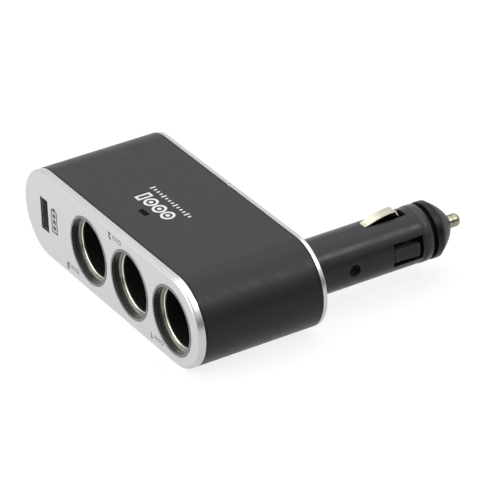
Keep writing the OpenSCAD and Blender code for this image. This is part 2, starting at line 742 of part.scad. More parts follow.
// A wire from the rear face of a bus bar to the board
module board_wire(bar_y, bar_z, landing_z) {
    start_x = socket_x(3) - bus_overrun + 2 * wire_radius;
    post_x = screw_places[2][0];
    slack_y = bar_y + bus_thickness + 2 * wire_radius;
    landing_x = board_x + board_thickness + fit_gap;
    landing_y = board_back - 5 * wire_radius / 2;
    tube(smooth([
        [start_x, bar_y + bus_thickness + 2 * fit_gap, bar_z],
        [start_x, slack_y, bar_z],
        [start_x - 6 * wire_radius, slack_y + wire_radius, (bar_z + landing_z) / 2],
        [post_x, slack_y, landing_z],
        [landing_x + 5 * wire_radius, landing_y + wire_radius, landing_z],
        [landing_x + 2 * wire_radius, landing_y, landing_z],
        [landing_x, landing_y, landing_z]
    ]), wire_radius, [0, 0, 1]);
}

module board_positive_wire() color("#a32622")
    board_wire(positive_bus_y, socket_z, -board_height / 6);

module board_ground_wire() color("#1c1d1f")
    board_wire(ground_bus_y, ground_bus_z, board_height / 6);

module housing_screws() color("#9a9da0") for (place = screw_places)
    translate([place[0], head_seat, place[1]])
        screw(housing_head, housing_head_height, housing_shank, housing_shank_length);

// The plate has its ears over the clamp bosses, and a hole for the plug's wires
module plug_clamp_plate() color("#aeb1b3") difference() {
    union() {
        rod_y(flange_radius, clamp_y, flange_y);
        block([-clamp_x, clamp_y, -clamp_boss * 2], [clamp_x, flange_y, clamp_boss * 2]);
        for (side = [-1, 1]) translate([side * clamp_x, 0, 0]) rod_y(clamp_boss, clamp_y, flange_y);
    }
    rod_y(barrel_inside - fit_gap * 5, clamp_y - over, flange_y + over);
    for (side = [-1, 1]) translate([side * clamp_x, 0, 0])
        rod_y(clamp_shank + fit_gap, clamp_y - over, flange_y + over);
    for (side = [-1, 1]) for (end = [-1, 1])
        translate([end * (clamp_x + clamp_boss), 0, side * clamp_boss * 2])
            rod_y(clamp_boss, clamp_y - over, flange_y + over);
}

module clamp_screws() color("#9a9da0") for (side = [-1, 1])
    translate([side * clamp_x, clamp_y, 0]) mirror([0, 1, 0])
        screw(clamp_head, clamp_head_height, clamp_shank, clamp_thickness + flange_thickness);

// Both halves of the plug in one, before they are parted at x = 0. Four ribs hold the fuse's tube
// between the tongues' windows and the contacts' slots
module plug_body() difference() {
    union() {
        difference() {
            turned() polygon([
                [0, flange_y], [flange_radius, flange_y], [flange_radius, -rear_band],
                [plug_radius, -rear_band], [plug_radius, barrel_length],
                [neck_radius, barrel_length], [neck_radius, neck_end], [0, neck_end]
            ]);
            rod_y(barrel_inside, flange_y - over, cavity_end);
        }
        rod_y(tube_outside, tube_back, cavity_end + over);
        translate([0, plug_screw_y, 0])
            rod_x(boss_outside, -barrel_inside - barrel_wall / 2, barrel_inside + barrel_wall / 2);
        for (side = [0, 1]) mirror([side, 0, 0]) block(
            [tube_outside - tube_wall / 2, strap_front + moving_gap, -tube_wall / 2],
            [barrel_inside + barrel_wall / 2, tongue_start + over, tube_wall / 2]
        );
        for (turn = [45:90:315]) rotate([0, turn, 0]) block(
            [tube_outside - tube_wall / 2, strap_front + moving_gap, -tube_wall / 2],
            [barrel_inside + barrel_wall / 2, cavity_end + over, tube_wall / 2]
        );
    }
    rod_y(tube_inside, terminal_y, chamber_start + over);
    rod_y(cup_chamber, chamber_start, neck_end + over);
    block(
        [-wire_radius - fit_gap, tube_back - over, wire_z - wire_radius - fit_gap],
        [wire_radius + fit_gap, terminal_y + over, tube_outside + over]
    );
    translate([0, plug_screw_y, 0]) {
        rod_x(plug_screw_hole, screw_seat, plug_radius + over);
        rod_x(plug_screw_shank + fit_gap / 2, pilot_end, screw_seat + over);
    }
    for (side = [0, 1]) mirror([0, 0, side]) block(
        [-slot_width / 2, slot_start, tube_outside + fit_gap],
        [slot_width / 2, slot_end, plug_radius + over]
    );
    for (side = [0, 1]) mirror([side, 0, 0]) block(
        [tube_outside + fit_gap, tongue_start, -tongue_window_width / 2],
        [plug_radius + over, tongue_window_end, tongue_window_width / 2]
    );
}

// The half of the plug between x0 and x1
module plug_half(x0, x1) color("#33353a") intersection() {
    plug_body();
    block([x0, flange_y - over, -flange_radius - over], [x1, neck_end + over, flange_radius + over]);
}

module plug_screw() color("#8d9093")
    translate([screw_seat, plug_screw_y, 0]) rotate([0, 0, -90])
        screw(
            plug_screw_hole - 2 * fit_gap, barrel_wall - fit_gap, plug_screw_shank,
            screw_seat - pilot_end - plug_screw_shank
        );

// A half ring inside the left half of the barrel, with a tab under each contact's root
module ground_strap() color("#d8cfae") {
    rotate([-90, 0, 0]) rotate([0, 0, 90]) rotate_extrude(angle = 180)
        translate([strap_inside, strap_back]) square([leaf_thickness, strap_front - strap_back]);
    for (side = [0, 1]) mirror([0, 0, side]) block(
        [-leaf_width / 2, slot_start + fit_gap, strap_inside],
        [leaf_width / 2, strap_front, loop_z - loop_radius - fit_gap / 2]
    );
}

// One edge of the contact's outline, at a distance from its middle line: the bow, the fold and the leg
function around_crest(rise, drop, r, a) = [crest_y + r * sin(a), leaf_root_z + rise - drop + r * cos(a)];
function leaf_edge(rise, leg, aside) = concat(
    [
        for (k = [0:12])
            around_crest(rise, bow_radius(rise), bow_radius(rise) + aside, bow_angle(rise) * (k / 12 - 1))
    ],
    [for (k = [1:8]) around_crest(rise, leaf_fold, leaf_fold + aside, fold_angle * k / 8)],
    [
        around_crest(rise, leaf_fold, leaf_fold + aside, fold_angle)
            + leg * [cos(fold_angle), -sin(fold_angle)]
    ]
);
function reversed(list) = [for (k = [len(list) - 1:-1:0]) list[k]];

// Both contacts turn about the same place at their roots, and the lower one's bow is flatter
module ground_contact(rise, leg) color("#e2ddb8") {
    rotate([90, 0, 90]) linear_extrude(leaf_width, center = true)
        polygon(concat(
            leaf_edge(rise, leg, leaf_thickness / 2), reversed(leaf_edge(rise, leg, -leaf_thickness / 2))
        ));
    translate([0, loop_y, loop_z])
        rod_x(loop_radius, fit_gap - leaf_width / 2, leaf_width / 2 - fit_gap);
}

module retention_tongue() color("#2f3136") {
    intersection() {
        turned() polygon([
            [plug_radius - tongue_thickness, tongue_y], [plug_radius, tongue_y],
            [plug_radius, tongue_y + tongue_thickness],
            [plug_radius + tongue_rise, tongue_end - tongue_thickness],
            [plug_radius + tongue_rise, tongue_end - tongue_rise / 2],
            [plug_radius + tongue_rise / 2, tongue_end],
            [plug_radius - tongue_thickness, tongue_end]
        ]);
        block(
            [0, tongue_y, -tongue_width / 2],
            [plug_radius + tongue_rise + over, tongue_end + over, tongue_width / 2]
        );
    }
    translate([tongue_x, tongue_y, -tongue_width / 2]) cylinder(h = tongue_width, r = tongue_root);
}

module nose_seal() color("#121314") turned()
    translate([neck_radius + fit_gap, barrel_length + fit_gap / 2])
        square([plug_radius - groove_depth - neck_radius - fit_gap, groove_width - fit_gap]);

// Points of an arc between two points, which bulges to the left of the way from a to b
function arc(a, b, bulge, steps) =
    let (
        chord = b - a, along = unit(chord), out = [along[1], -along[0]],
        r = (norm(chord) * norm(chord) / 4 + bulge * bulge) / (2 * bulge),
        centre = (a + b) / 2 - out * (r - bulge),
        half = asin(norm(chord) / (2 * r))
    )
    [for (k = [0:steps]) let (t = half * (2 * k / steps - 1)) centre + r * (sin(t) * along + cos(t) * out)];

module nose_cap() color("#2c2e32") turned() polygon(concat(
    [
        [neck_radius + moving_gap, cap_start],
        [cap_radius - cap_edge, cap_start], [cap_radius, cap_start + cap_edge],
        [cap_radius, cap_start + cap_ring_length - cap_edge],
        [cap_radius - cap_edge, cap_start + cap_ring_length],
        [dome_radius - cap_line, cap_start + cap_ring_length],
        [dome_radius - cap_line, dome_start]
    ],
    arc([dome_radius, dome_start], [pin_radius + nose_rim, cap_front], dome_bulge, 16),
    [
        [pin_radius + running_gap, cap_front], [pin_radius + running_gap, shoulder_y],
        [cup_chamber, shoulder_y], [cup_chamber, neck_end + fit_gap],
        [neck_radius + moving_gap, neck_end + fit_gap]
    ]
));

module tip_contact() color("#d9d2bb") turned() difference() {
    union() {
        translate([0, cup_back]) square([cup_radius, cup_length]);
        translate([0, flange_front - cup_wall]) square([pin_radius, pin_end - flange_front + cup_wall]);
    }
    translate([0, cup_back - over]) square([cup_radius - cup_wall, cup_length - cup_floor + over]);
    translate([pin_radius, pin_end]) edge_cut(pin_round);
}

module fuse_glass() color("#dfe6ea", 0.5) turned()
    translate([fuse_radius - fuse_cap_wall - glass_wall - fit_gap / 2, fuse_back + 2 * fuse_cap_wall])
        square([glass_wall, fuse_length - 4 * fuse_cap_wall]);

// A metal cup over the fuse's end, with its mouth along +Y
module fuse_cap() turned() difference() {
    square([fuse_radius, fuse_cap_length]);
    translate([0, fuse_cap_wall]) square([fuse_radius - fuse_cap_wall, fuse_cap_length]);
}

module fuse_cap_rear() color("#c5c9cc") translate([0, fuse_back, 0]) fuse_cap();
module fuse_cap_front() color("#c5c9cc") translate([0, fuse_front, 0]) mirror([0, 1, 0]) fuse_cap();
module fuse_element() color("#b9bcbf")
    rod_y(element_radius, fuse_back + fuse_cap_wall, fuse_front - fuse_cap_wall);

module fuse_spring() color("#b9bcbf") {
    rise = spring_end - spring_start;
    half_turns = max(1, round(2 * rise / spring_pitch));
    steps = 6 * half_turns;
    tube([
        for (k = [0:steps]) let (a = 180 * half_turns * k / steps)
        [spring_radius * cos(a), spring_start + rise * k / steps, spring_radius * sin(a)]
    ], spring_wire, [0, 1, 0], 6);
}

module positive_terminal() color("#c9a45c")
    rod_y(tube_inside - fit_gap, terminal_y, terminal_y + terminal_thickness);

// From the terminal, over the screw's boss and through the clamp plate, to the positive bus bar
module positive_wire() color("#a32622") {
    boss_top = boss_outside + 2 * wire_radius;
    landing = [socket_x(1) + bus_overrun - 2 * wire_radius, positive_bus_back + fit_gap, socket_z];
    tube(smooth([
        [0, terminal_y - fit_gap, wire_z],
        [0, terminal_y - wire_radius, wire_z + wire_radius / 4],
        [0, plug_screw_y + boss_outside * 2 / 3, boss_top - wire_radius],
        [wire_radius, plug_screw_y, boss_top],
        [landing[0] / 3, plug_screw_y / 3, boss_top],
        [landing[0] * 2 / 3, 0, boss_top / 2],
        [landing[0], clamp_y, landing[2] + 2 * wire_radius],
        landing + [0, wire_radius, 0],
        landing
    ]), wire_radius, [1, 0, 0]);
}

// From the strap, over the screw's boss and through the clamp plate, to the ground bus bar
module ground_wire() color("#1c1d1f") {
    side_x = -strap_inside + wire_radius + fit_gap;
    boss_top = boss_outside + 2 * wire_radius;
    landing = [-4 * wire_radius, ground_bus_y + bus_thickness + fit_gap, ground_bus_z];
    tube(smooth([
        [side_x, slot_start - wire_radius, 0],
        [side_x, slot_start - 4 * wire_radius, wire_radius],
        [side_x * 2 / 3, plug_screw_y + boss_outside * 2 / 3, boss_top],
        [side_x * 2 / 3, plug_screw_y, boss_top],
        [side_x * 2 / 3, plug_screw_y / 3, boss_top],
        [landing[0], clamp_y, boss_top - wire_radius],
        landing + [0, 2 * wire_radius, -wire_radius / 2],
        landing + [0, wire_radius, 0],
        landing
    ]), wire_radius, [1, 0, 0]);
}

outer_sleeve();
front_bezel();
rear_cover();
light_window();
mouth_ring(1);  // mouth_ring_1
mouth_ring(2);  // mouth_ring_2
mouth_ring(3);  // mouth_ring_3
socket_shell(1);  // socket_shell_1
socket_shell(2);  // socket_shell_2
socket_shell(3);  // socket_shell_3
socket_insulator(1);  // socket_insulator_1
socket_insulator(2);  // socket_insulator_2
socket_insulator(3);  // socket_insulator_3
centre_contact(1);  // centre_contact_1
centre_contact(2);  // centre_contact_2
centre_contact(3);  // centre_contact_3
positive_bus_bar();
ground_bus_bar();
usb_shell();
usb_tongue();
usb_contacts();
circuit_board();
smoothing_capacitor();
power_inductor();
converter_chip();
indicator_light();
light_wires();
board_positive_wire();
board_ground_wire();
housing_screws();
plug_clamp_plate();
clamp_screws();
plug_half(0, flange_radius + over);  // plug_half_right
plug_half(-flange_radius - over, 0);  // plug_half_left
plug_screw();
ground_strap();
ground_contact(leaf_rise, leaf_leg);  // ground_contact_top
mirror([0, 0, 1]) ground_contact(lower_rise, lower_leg);  // ground_contact_bottom
retention_tongue();  // retention_tongue_right
mirror([1, 0, 0]) retention_tongue();  // retention_tongue_left
nose_seal();
nose_cap();
tip_contact();
fuse_glass();
fuse_cap_front();
fuse_cap_rear();
fuse_element();
fuse_spring();
positive_terminal();
positive_wire();
ground_wire();
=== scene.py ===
"""Looks of the car power socket splitter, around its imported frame."""
import json
import math

import bpy
from mathutils import Matrix, Vector


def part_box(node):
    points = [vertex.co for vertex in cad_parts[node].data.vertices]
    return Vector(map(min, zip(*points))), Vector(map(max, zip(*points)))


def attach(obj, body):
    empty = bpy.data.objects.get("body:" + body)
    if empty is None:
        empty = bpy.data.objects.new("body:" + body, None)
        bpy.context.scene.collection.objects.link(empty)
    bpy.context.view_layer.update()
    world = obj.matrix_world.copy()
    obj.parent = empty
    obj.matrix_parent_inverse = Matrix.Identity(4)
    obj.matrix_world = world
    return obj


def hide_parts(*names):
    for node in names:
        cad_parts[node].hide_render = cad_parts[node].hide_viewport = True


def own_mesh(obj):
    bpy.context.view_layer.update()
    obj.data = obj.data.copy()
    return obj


MM = 0.001
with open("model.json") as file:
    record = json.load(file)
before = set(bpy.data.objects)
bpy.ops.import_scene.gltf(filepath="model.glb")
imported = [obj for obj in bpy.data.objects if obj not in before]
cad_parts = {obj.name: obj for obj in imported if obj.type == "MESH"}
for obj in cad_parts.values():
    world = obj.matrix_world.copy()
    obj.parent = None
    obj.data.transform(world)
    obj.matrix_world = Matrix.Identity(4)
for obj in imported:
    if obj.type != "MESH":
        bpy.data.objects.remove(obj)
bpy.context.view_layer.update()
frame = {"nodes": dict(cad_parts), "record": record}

# Places taken from the frame
sleeve_low, sleeve_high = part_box("outer_sleeve")
bezel_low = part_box("front_bezel")[0]
spring_low, spring_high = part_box("fuse_spring")
tongue_low, tongue_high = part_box("usb_tongue")
cap_low, cap_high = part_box("nose_cap")
seal_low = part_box("nose_seal")[0]
FRONT_Y = bezel_low.y
MIDDLE_X = (sleeve_low.x + sleeve_high.x) / 2
TOP_Z = sleeve_high.z
SOCKETS = [(low + high) / 2 for low, high in (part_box(f"mouth_ring_{i}") for i in (1, 2, 3))]
USB_MIDDLE = (tongue_low + tongue_high) / 2

# The back of the bright lip that each socket's shell has at its front
LIP_LENGTH = 0.45 * MM
LIP_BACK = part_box("socket_shell_1")[0].y + LIP_LENGTH

# The collar on the plug's barrel: where it starts before the nose cap, and ends before the seal
BARREL_RADIUS = 10.4 * MM
COLLAR_REACH = 5.3 * MM
COLLAR_START = cap_low.y - COLLAR_REACH
COLLAR_GAP = 0.1 * MM
COLLAR_END = seal_low.y - COLLAR_GAP

# The camera that the photograph was taken with
CAMERA_AZIMUTH = 1.043
CAMERA_ELEVATION = 0.517
CAMERA_ROLL = -0.039
CAMERA_DISTANCE = 1257.42 * MM
CAMERA_ASIDE = -46.012 * MM
CAMERA_ABOVE = -9.563 * MM
FOCAL_PIXELS = 3588.8
PICTURE_PIXELS = 480
SENSOR_MM = 36
# How many metres the camera sees
CAMERA_REACH = 10


def make_camera():
    """A camera on the fitted line of sight, with no shift."""
    cos_a, sin_a = math.cos(CAMERA_AZIMUTH), math.sin(CAMERA_AZIMUTH)
    cos_e, sin_e = math.cos(CAMERA_ELEVATION), math.sin(CAMERA_ELEVATION)
    back = Vector((sin_a * cos_e, -cos_a * cos_e, sin_e))
    level = Vector((cos_a, sin_a, 0))
    upward = back.cross(level)
    right = level * math.cos(CAMERA_ROLL) + upward * math.sin(CAMERA_ROLL)
    up = upward * math.cos(CAMERA_ROLL) - level * math.sin(CAMERA_ROLL)
    face_middle = Vector((MIDDLE_X, FRONT_Y, 0))
    eye = face_middle + back * CAMERA_DISTANCE - right * CAMERA_ASIDE - up * CAMERA_ABOVE
    data = bpy.data.cameras.new("camera")
    data.sensor_width = SENSOR_MM
    data.lens = FOCAL_PIXELS * SENSOR_MM / PICTURE_PIXELS
    data.clip_end = CAMERA_REACH
    camera = bpy.data.objects.new("camera", data)
    bpy.context.scene.collection.objects.link(camera)
    turn = Matrix((right, up, back)).transposed().to_4x4()
    camera.matrix_world = Matrix.Translation(eye) @ turn
    bpy.context.scene.camera = camera


# Node helpers, in which a value is a socket or a plain number


def feed(tree, socket, value):
    """Links a value to a socket, or sets it there."""
    if isinstance(value, bpy.types.NodeSocket):
        tree.links.new(value, socket)
    else:
        socket.default_value = value


def maths(tree, operation, *values):
    """What a maths node makes of values."""
    node = tree.nodes.new("ShaderNodeMath")
    node.operation = operation
    for socket, value in zip(node.inputs, values):
        feed(tree, socket, value)
    return node.outputs[0]


def span(tree, value, low, high, to_low, to_high):
    """value, from low..high, as a number from to_low to to_high."""
    node = tree.nodes.new("ShaderNodeMapRange")
    feed(tree, node.inputs["Value"], value)
    node.inputs["From Min"].default_value = low
    node.inputs["From Max"].default_value = high
    node.inputs["To Min"].default_value = to_low
    node.inputs["To Max"].default_value = to_high
    return node.outputs["Result"]


# How many rays the look of a rounded edge is worked out from
BEVEL_SAMPLES = 8


class Nodes:
    """A new material with a Principled shader, and short ways to add nodes to it."""

    def __init__(self, name, colour, roughness, metallic=0.0, **sockets):
        self.material = bpy.data.materials.new(name)
        self.material.use_nodes = True
        self.tree = self.material.node_tree
        self.shader = self.tree.nodes["Principled BSDF"]
        self.place = self.add("ShaderNodeTexCoord").outputs["Object"]
        self.set("Base Color", (*colour, 1))
        self.set("Roughness", roughness)
        self.set("Metallic", metallic)
        for socket, value in sockets.items():
            self.set(socket.replace("_", " "), value)

    def set(self, socket, value):
        """Feeds one of the shader's sockets."""
        feed(self.tree, self.shader.inputs[socket], value)

    def add(self, kind, **inputs):
        """A new node, with an underscore for each space in the names of its sockets."""
        node = self.tree.nodes.new(kind)
        for name, value in inputs.items():
            feed(self.tree, node.inputs[name.replace("_", " ")], value)
        return node

    def noise(self, size, detail=3.0, stretch=(1, 1, 1)):
        """Noise whose features are about size metres wide, and longer along a stretched axis."""
        mapping = self.add("ShaderNodeMapping", Vector=self.place, Scale=[1 / s for s in stretch])
        node = self.add("ShaderNodeTexNoise", Vector=mapping.outputs[0], Scale=1 / size, Detail=detail)
        return node.outputs["Fac"]

    def along(self, axis):
        """One coordinate of the place, in metres."""
        return self.add("ShaderNodeSeparateXYZ", Vector=self.place).outputs[axis]

    def maths(self, operation, *values):
        return maths(self.tree, operation, *values)

    def span(self, value, low, high, to_low, to_high):
        return span(self.tree, value, low, high, to_low, to_high)

    def between(self, axis, low, high, soft=0.05 * MM):
        """1 between two places on an axis, with soft ends."""
        at = self.along(axis)
        up = self.span(at, low - soft, low + soft, 0, 1)
        return self.maths("MULTIPLY", up, self.span(at, high - soft, high + soft, 1, 0))

    def inside(self, middle, half):
        """1 inside a box and 0 outside it."""
        share = 1.0
        for axis, at, reach in zip("XYZ", middle, half):
            share = self.maths("MULTIPLY", share, self.maths("COMPARE", self.along(axis), at, reach))
        return share

    def ridges(self, axis, pitch):
        """Round ridges across one axis."""
        return self.maths("SINE", self.maths("MULTIPLY", self.along(axis), 2 * math.pi / pitch))

    def mix(self, socket, share, value):
        """Turns what feeds a socket of the shader into value, where share is 1."""
        target = self.shader.inputs[socket]
        was = target.links[0].from_socket if target.links else None
        if socket == "Base Color":
            self.set(socket, self.blend(share, was or tuple(target.default_value)[:3], value))
        else:
            node = self.tree.nodes.new("ShaderNodeMix")
            for index, number in ((0, share), (2, was or target.default_value), (3, value)):
                feed(self.tree, node.inputs[index], number)
            self.set(socket, node.outputs[0])

    def blend(self, share, first, second):
        """A colour between first and second."""
        node = self.tree.nodes.new("ShaderNodeMix")
        node.data_type = "RGBA"
        feed(self.tree, node.inputs[0], share)
        for socket, colour in ((node.inputs[6], first), (node.inputs[7], second)):
            whole = colour if isinstance(colour, bpy.types.NodeSocket) else (*colour, 1)
            feed(self.tree, socket, whole)
        return node.outputs[2]

    def bump(self, heights, edge=0.0):
        """Bumps from (height, depth in metres) pairs, on edges rounded by the radius edge."""
        normal = None
        if edge:
            rounded = self.add("ShaderNodeBevel", Radius=edge)
            rounded.samples = BEVEL_SAMPLES
            normal = rounded.outputs[0]
        for height, depth in heights:
            node = self.add("ShaderNodeBump", Height=height, Distance=depth, Strength=1.0)
            if normal:
                feed(self.tree, node.inputs["Normal"], normal)
            normal = node.outputs[0]
        self.set("Normal", normal)

    def worn_edge(self, radius, low=0.02, high=0.2):
        """A share that is 1 on convex and concave edges and 0 on flats."""
        rounded = self.add("ShaderNodeBevel", Radius=radius)
        rounded.samples = BEVEL_SAMPLES
        flat = self.add("ShaderNodeNewGeometry")
        node = self.tree.nodes.new("ShaderNodeVectorMath")
        node.operation = "DISTANCE"
        for socket, normal in zip(node.inputs, (rounded.outputs[0], flat.outputs["Normal"])):
            feed(self.tree, socket, normal)
        return self.span(node.outputs["Value"], low, high, 0, 1)


# Materials, one for each slot of the record


def moulded(name, colour, roughness, grain, depth, edge=0.12 * MM, specular=0.5):
    """Moulded plastic with a fine eroded grain, faint cloudiness and slightly polished edges."""
    m = Nodes(name, colour, roughness, Specular_IOR_Level=specular)
    cloud = m.noise(9 * MM, 2.0)
    worn = m.worn_edge(edge)
    paler = [c + (1 - c) * 0.03 for c in colour]
    darker = [c * 0.86 for c in colour]
    mottled = m.blend(cloud, darker, colour)
    m.set("Base Color", m.blend(worn, mottled, paler))
    m.set("Roughness", m.span(m.noise(3 * MM), 0.3, 0.7, roughness - 0.05, roughness + 0.06))
    m.bump([(m.noise(grain, 4.0), depth), (m.noise(grain * 5, 2.0), depth * 0.7)], edge)
    return m


# Where the sleeve is clear of the shade at its front and back seams
SEAMLESS = (sleeve_low.y + 0.55 * MM, sleeve_high.y - 0.5 * MM)


def sleeve_black():
    """Matt moulding, with painted shade where its ends meet the silver mouldings."""
    m = moulded("sleeve_black", (0.025, 0.027, 0.0295), 0.4, 0.22 * MM, 0.02 * MM, specular=0.22)
    # Painted shade on the sleeve next to its front and back seams
    seams = m.span(m.between("Y", *SEAMLESS), 0, 1, 1, 0)
    m.mix("Base Color", seams, (0.004, 0.004, 0.0045))
    return m.material


# Where the collar's painted highlight ends, where the nose cap's tone starts, and the painted shade of the
# groove round its dome
COLLAR_HIGHLIGHT_END = cap_low.y - 1 * MM
CAP_START = (cap_low.y - 0.1 * MM, cap_low.y)
DOME_GROOVE_SHADE = (cap_low.y + 2.55 * MM, cap_low.y + 3.35 * MM)


def plug_black():
    """Smoother moulding, with a painted highlight that makes the barrel's collar paler, darker on the nose
    cap, and with painted shade round the dome.
    """
    m = moulded("plug_black", (0.035, 0.036, 0.041), 0.3, 0.35 * MM, 0.01 * MM, specular=0.2)
    # Painted highlight: the collar is made paler than the barrel
    m.mix("Base Color", m.between("Y", COLLAR_START, COLLAR_HIGHLIGHT_END), (0.055, 0.056, 0.056))
    cap = m.span(m.along("Y"), *CAP_START, 0, 1)
    m.mix("Base Color", cap, (0.006, 0.006, 0.007))
    m.mix("Roughness", cap, 0.38)
    # Painted shade: a dark band where the groove round the dome is
    m.mix("Base Color", m.between("Y", *DOME_GROOVE_SHADE), (0.002, 0.002, 0.002))
    return m.material


# Half the size of a box that holds the USB port's tongue with a little to spare
TONGUE_HALF = (tongue_high - tongue_low) * 0.55


def dark_plastic():
    """Plain dark moulding, grey on the USB port's tongue."""
    m = moulded("dark_plastic", (0.014, 0.014, 0.016), 0.4, 0.3 * MM, 0.01 * MM, 0.05 * MM)
    m.mix("Base Color", m.inside(USB_MIDDLE, TONGUE_HALF), (0.17, 0.175, 0.165))
    return m.material


def insulator_brown():
    """Pressed phenolic board with faint fibres."""
    m = Nodes("insulator_brown", (0.12, 0.06, 0.035), 0.55)
    fibres = m.noise(0.5 * MM, 5.0, (6, 1, 1))
    m.set("Base Color", m.blend(fibres, (0.07, 0.032, 0.018), (0.17, 0.09, 0.05)))
    m.bump([(fibres, 0.02 * MM)], 0.06 * MM)
    return m.material


# The box that holds the USB slot's walls: its middle and half its size
SLOT_MIDDLE = (USB_MIDDLE.x, FRONT_Y + 1.15 * MM, USB_MIDDLE.z)
SLOT_HALF = (2.9 * MM, 1 * MM, 6.7 * MM)


def body_silver():
    """Silver paint over dark plastic, darkened inside the USB slot. Its rounded edges are polished."""
    m = Nodes("body_silver", (0.66, 0.68, 0.67), 0.42, 0.35)
    flakes = m.noise(0.09 * MM, 2.0)
    cloud = m.noise(14 * MM, 2.0)
    worn = m.worn_edge(0.25 * MM)
    base = m.blend(m.span(flakes, 0.35, 0.65, 0, 1), (0.6, 0.62, 0.61), (0.74, 0.76, 0.75))
    toned = m.blend(m.span(cloud, 0.3, 0.7, 0, 0.25), base, (0.65, 0.67, 0.66))
    m.set("Base Color", m.blend(worn, toned, (0.76, 0.775, 0.77)))
    m.set("Roughness", m.span(m.noise(5 * MM), 0.3, 0.7, 0.37, 0.47))
    m.set("Coat Weight", 0.15)
    m.set("Coat Roughness", 0.3)
    facing = m.add("ShaderNodeSeparateXYZ", Vector=m.add("ShaderNodeNewGeometry").outputs["Normal"])
    rounded = m.span(m.maths("ABSOLUTE", facing.outputs["Y"]), 0.9, 0.99, 1, 0)
    m.mix("Base Color", rounded, (0.56, 0.565, 0.555))
    m.mix("Metallic", rounded, 0.85)
    m.mix("Roughness", rounded, 0.28)
    # Darker and not metallic inside the USB slot's walls
    slot_dark = m.inside(SLOT_MIDDLE, SLOT_HALF)
    m.mix("Base Color", slot_dark, (0.03, 0.03, 0.032))
    m.mix("Metallic", slot_dark, 0.0)
    m.bump([(flakes, 0.004 * MM), (m.noise(0.8 * MM, 2.0), 0.006 * MM)], 0.2 * MM)
    return m.material


def window_red():
    """Dark tinted window, smooth but for its moulded underside."""
    m = Nodes("window_red", (0.015, 0.004, 0.004), 0.3)
    m.set("Base Color", m.blend(m.noise(0.6 * MM), (0.005, 0.002, 0.002), (0.01, 0.004, 0.004)))
    m.set("Specular IOR Level", 0.02)
    m.bump([(m.noise(0.5 * MM, 2.0), 0.008 * MM)], 0.1 * MM)
    return m.material


def bright_metal(name, colour, roughness, turned=(1, 1, 1), tint=None, edge=0.05 * MM, bumps=()):
    """Plated or drawn metal: fine lines along the stretched axis, and faint staining."""
    m = Nodes(name, colour, roughness, 1.0)
    lines = m.noise(0.05 * MM, 3.0, turned)
    stain = m.span(m.noise(2.5 * MM, 3.0), 0.35, 0.75, 0, 0.7)
    m.set("Base Color", m.blend(stain, colour, tint or [c * 0.82 for c in colour]))
    m.set("Roughness", m.span(lines, 0.3, 0.7, roughness * 0.8, roughness * 1.3))
    m.bump([(lines, 0.002 * MM)] + [(m.ridges(axis, pitch), depth) for axis, pitch, depth in bumps], edge)
    return m


# Where the mouth ring's wall begins, and where the painted light that makes its back paler begins and ends
WALL_START = (FRONT_Y, FRONT_Y + 0.25 * MM)
WALL_BACK = (FRONT_Y + 2.4 * MM, LIP_BACK + 0.4 * MM)
# The lower part of the mouths, where painted light from the floor makes the wall paler
MOUTH_FLOOR_LIGHT = (SOCKETS[0].z - 12 * MM, SOCKETS[0].z - 4 * MM)


def mouth_chrome():
    """Dark plated trim: a grey rim, and a wall with painted light that makes it paler towards the back and
    low down, with faint ridges.
    """
    m = bright_metal("mouth_chrome", (0.2, 0.208, 0.212), 0.2, (6, 1, 6), edge=0.1 * MM,
                     bumps=[("Y", 1.7 * MM, 0.03 * MM)])
    m.set("Metallic", 0.7)
    back = m.span(m.along("Y"), *WALL_BACK, 0, 1)
    low = m.span(m.along("Z"), *MOUTH_FLOOR_LIGHT, 1, 0)
    wall = m.span(m.along("Y"), *WALL_START, 0, 1)
    m.mix("Base Color", wall, (0.25, 0.262, 0.262))
    # Painted light: the wall is paler towards the back
    m.mix("Base Color", m.maths("MULTIPLY", back, 0.7), (0.42, 0.425, 0.415))
    # Painted light from the floor: the wall is paler low down
    m.mix("Base Color", m.maths("MULTIPLY", m.maths("MULTIPLY", wall, low), 0.45), (0.4, 0.4, 0.39))
    return m.material


# Where the bright lip turns into the dark bore
LIP_FADE = (LIP_BACK - 0.1 * MM, LIP_BACK + 0.5 * MM)


def shell_nickel():
    """Plated steel, bright on the lip and darkened down the bore."""
    m = bright_metal("shell_nickel", (0.8, 0.77, 0.66), 0.22, (1, 14, 1), (0.6, 0.56, 0.46))
    dark = m.span(m.along("Y"), *LIP_FADE, 0, 1)
    m.mix("Base Color", dark, (0.035, 0.034, 0.032))
    m.mix("Metallic", dark, 0.6)
    m.mix("Roughness", dark, 0.45)
    return m.material


def contact_brass():
    return bright_metal("contact_brass", (0.76, 0.55, 0.25), 0.25, (1, 8, 1), (0.5, 0.34, 0.14)).material


def tinned_steel():
    return bright_metal("tinned_steel", (0.63, 0.63, 0.61), 0.28, (1, 10, 1)).material


def screw_steel():
    return bright_metal("screw_steel", (0.55, 0.56, 0.57), 0.3, (1, 1, 1), (0.42, 0.43, 0.46)).material


# The pin from the nose cap's end, and the painted shade of a groove round it near its base
PIN_START = (cap_high.y, cap_high.y + 0.1 * MM)
PIN_GROOVE_SHADE = (cap_high.y + 1.4 * MM, cap_high.y + 2.0 * MM)
PIN_GROOVE_SHADE_SOFT = 0.3 * MM


def contact_nickel():
    """Plated brass, darker on the pin, with painted shade of a groove near the pin's base."""
    m = bright_metal("contact_nickel", (0.6, 0.59, 0.48), 0.22, (1, 10, 1), (0.5, 0.47, 0.36))
    m.mix("Base Color", m.span(m.along("Y"), *PIN_START, 0, 1), (0.28, 0.27, 0.2))
    # Painted shade: a dark band where a groove runs round the pin
    ring = m.between("Y", *PIN_GROOVE_SHADE, PIN_GROOVE_SHADE_SOFT)
    m.mix("Base Color", m.maths("MULTIPLY", ring, 0.7), (0.16, 0.145, 0.1))
    return m.material


def fuse_metal():
    return bright_metal("fuse_metal", (0.68, 0.69, 0.7), 0.2, (1, 6, 1)).material


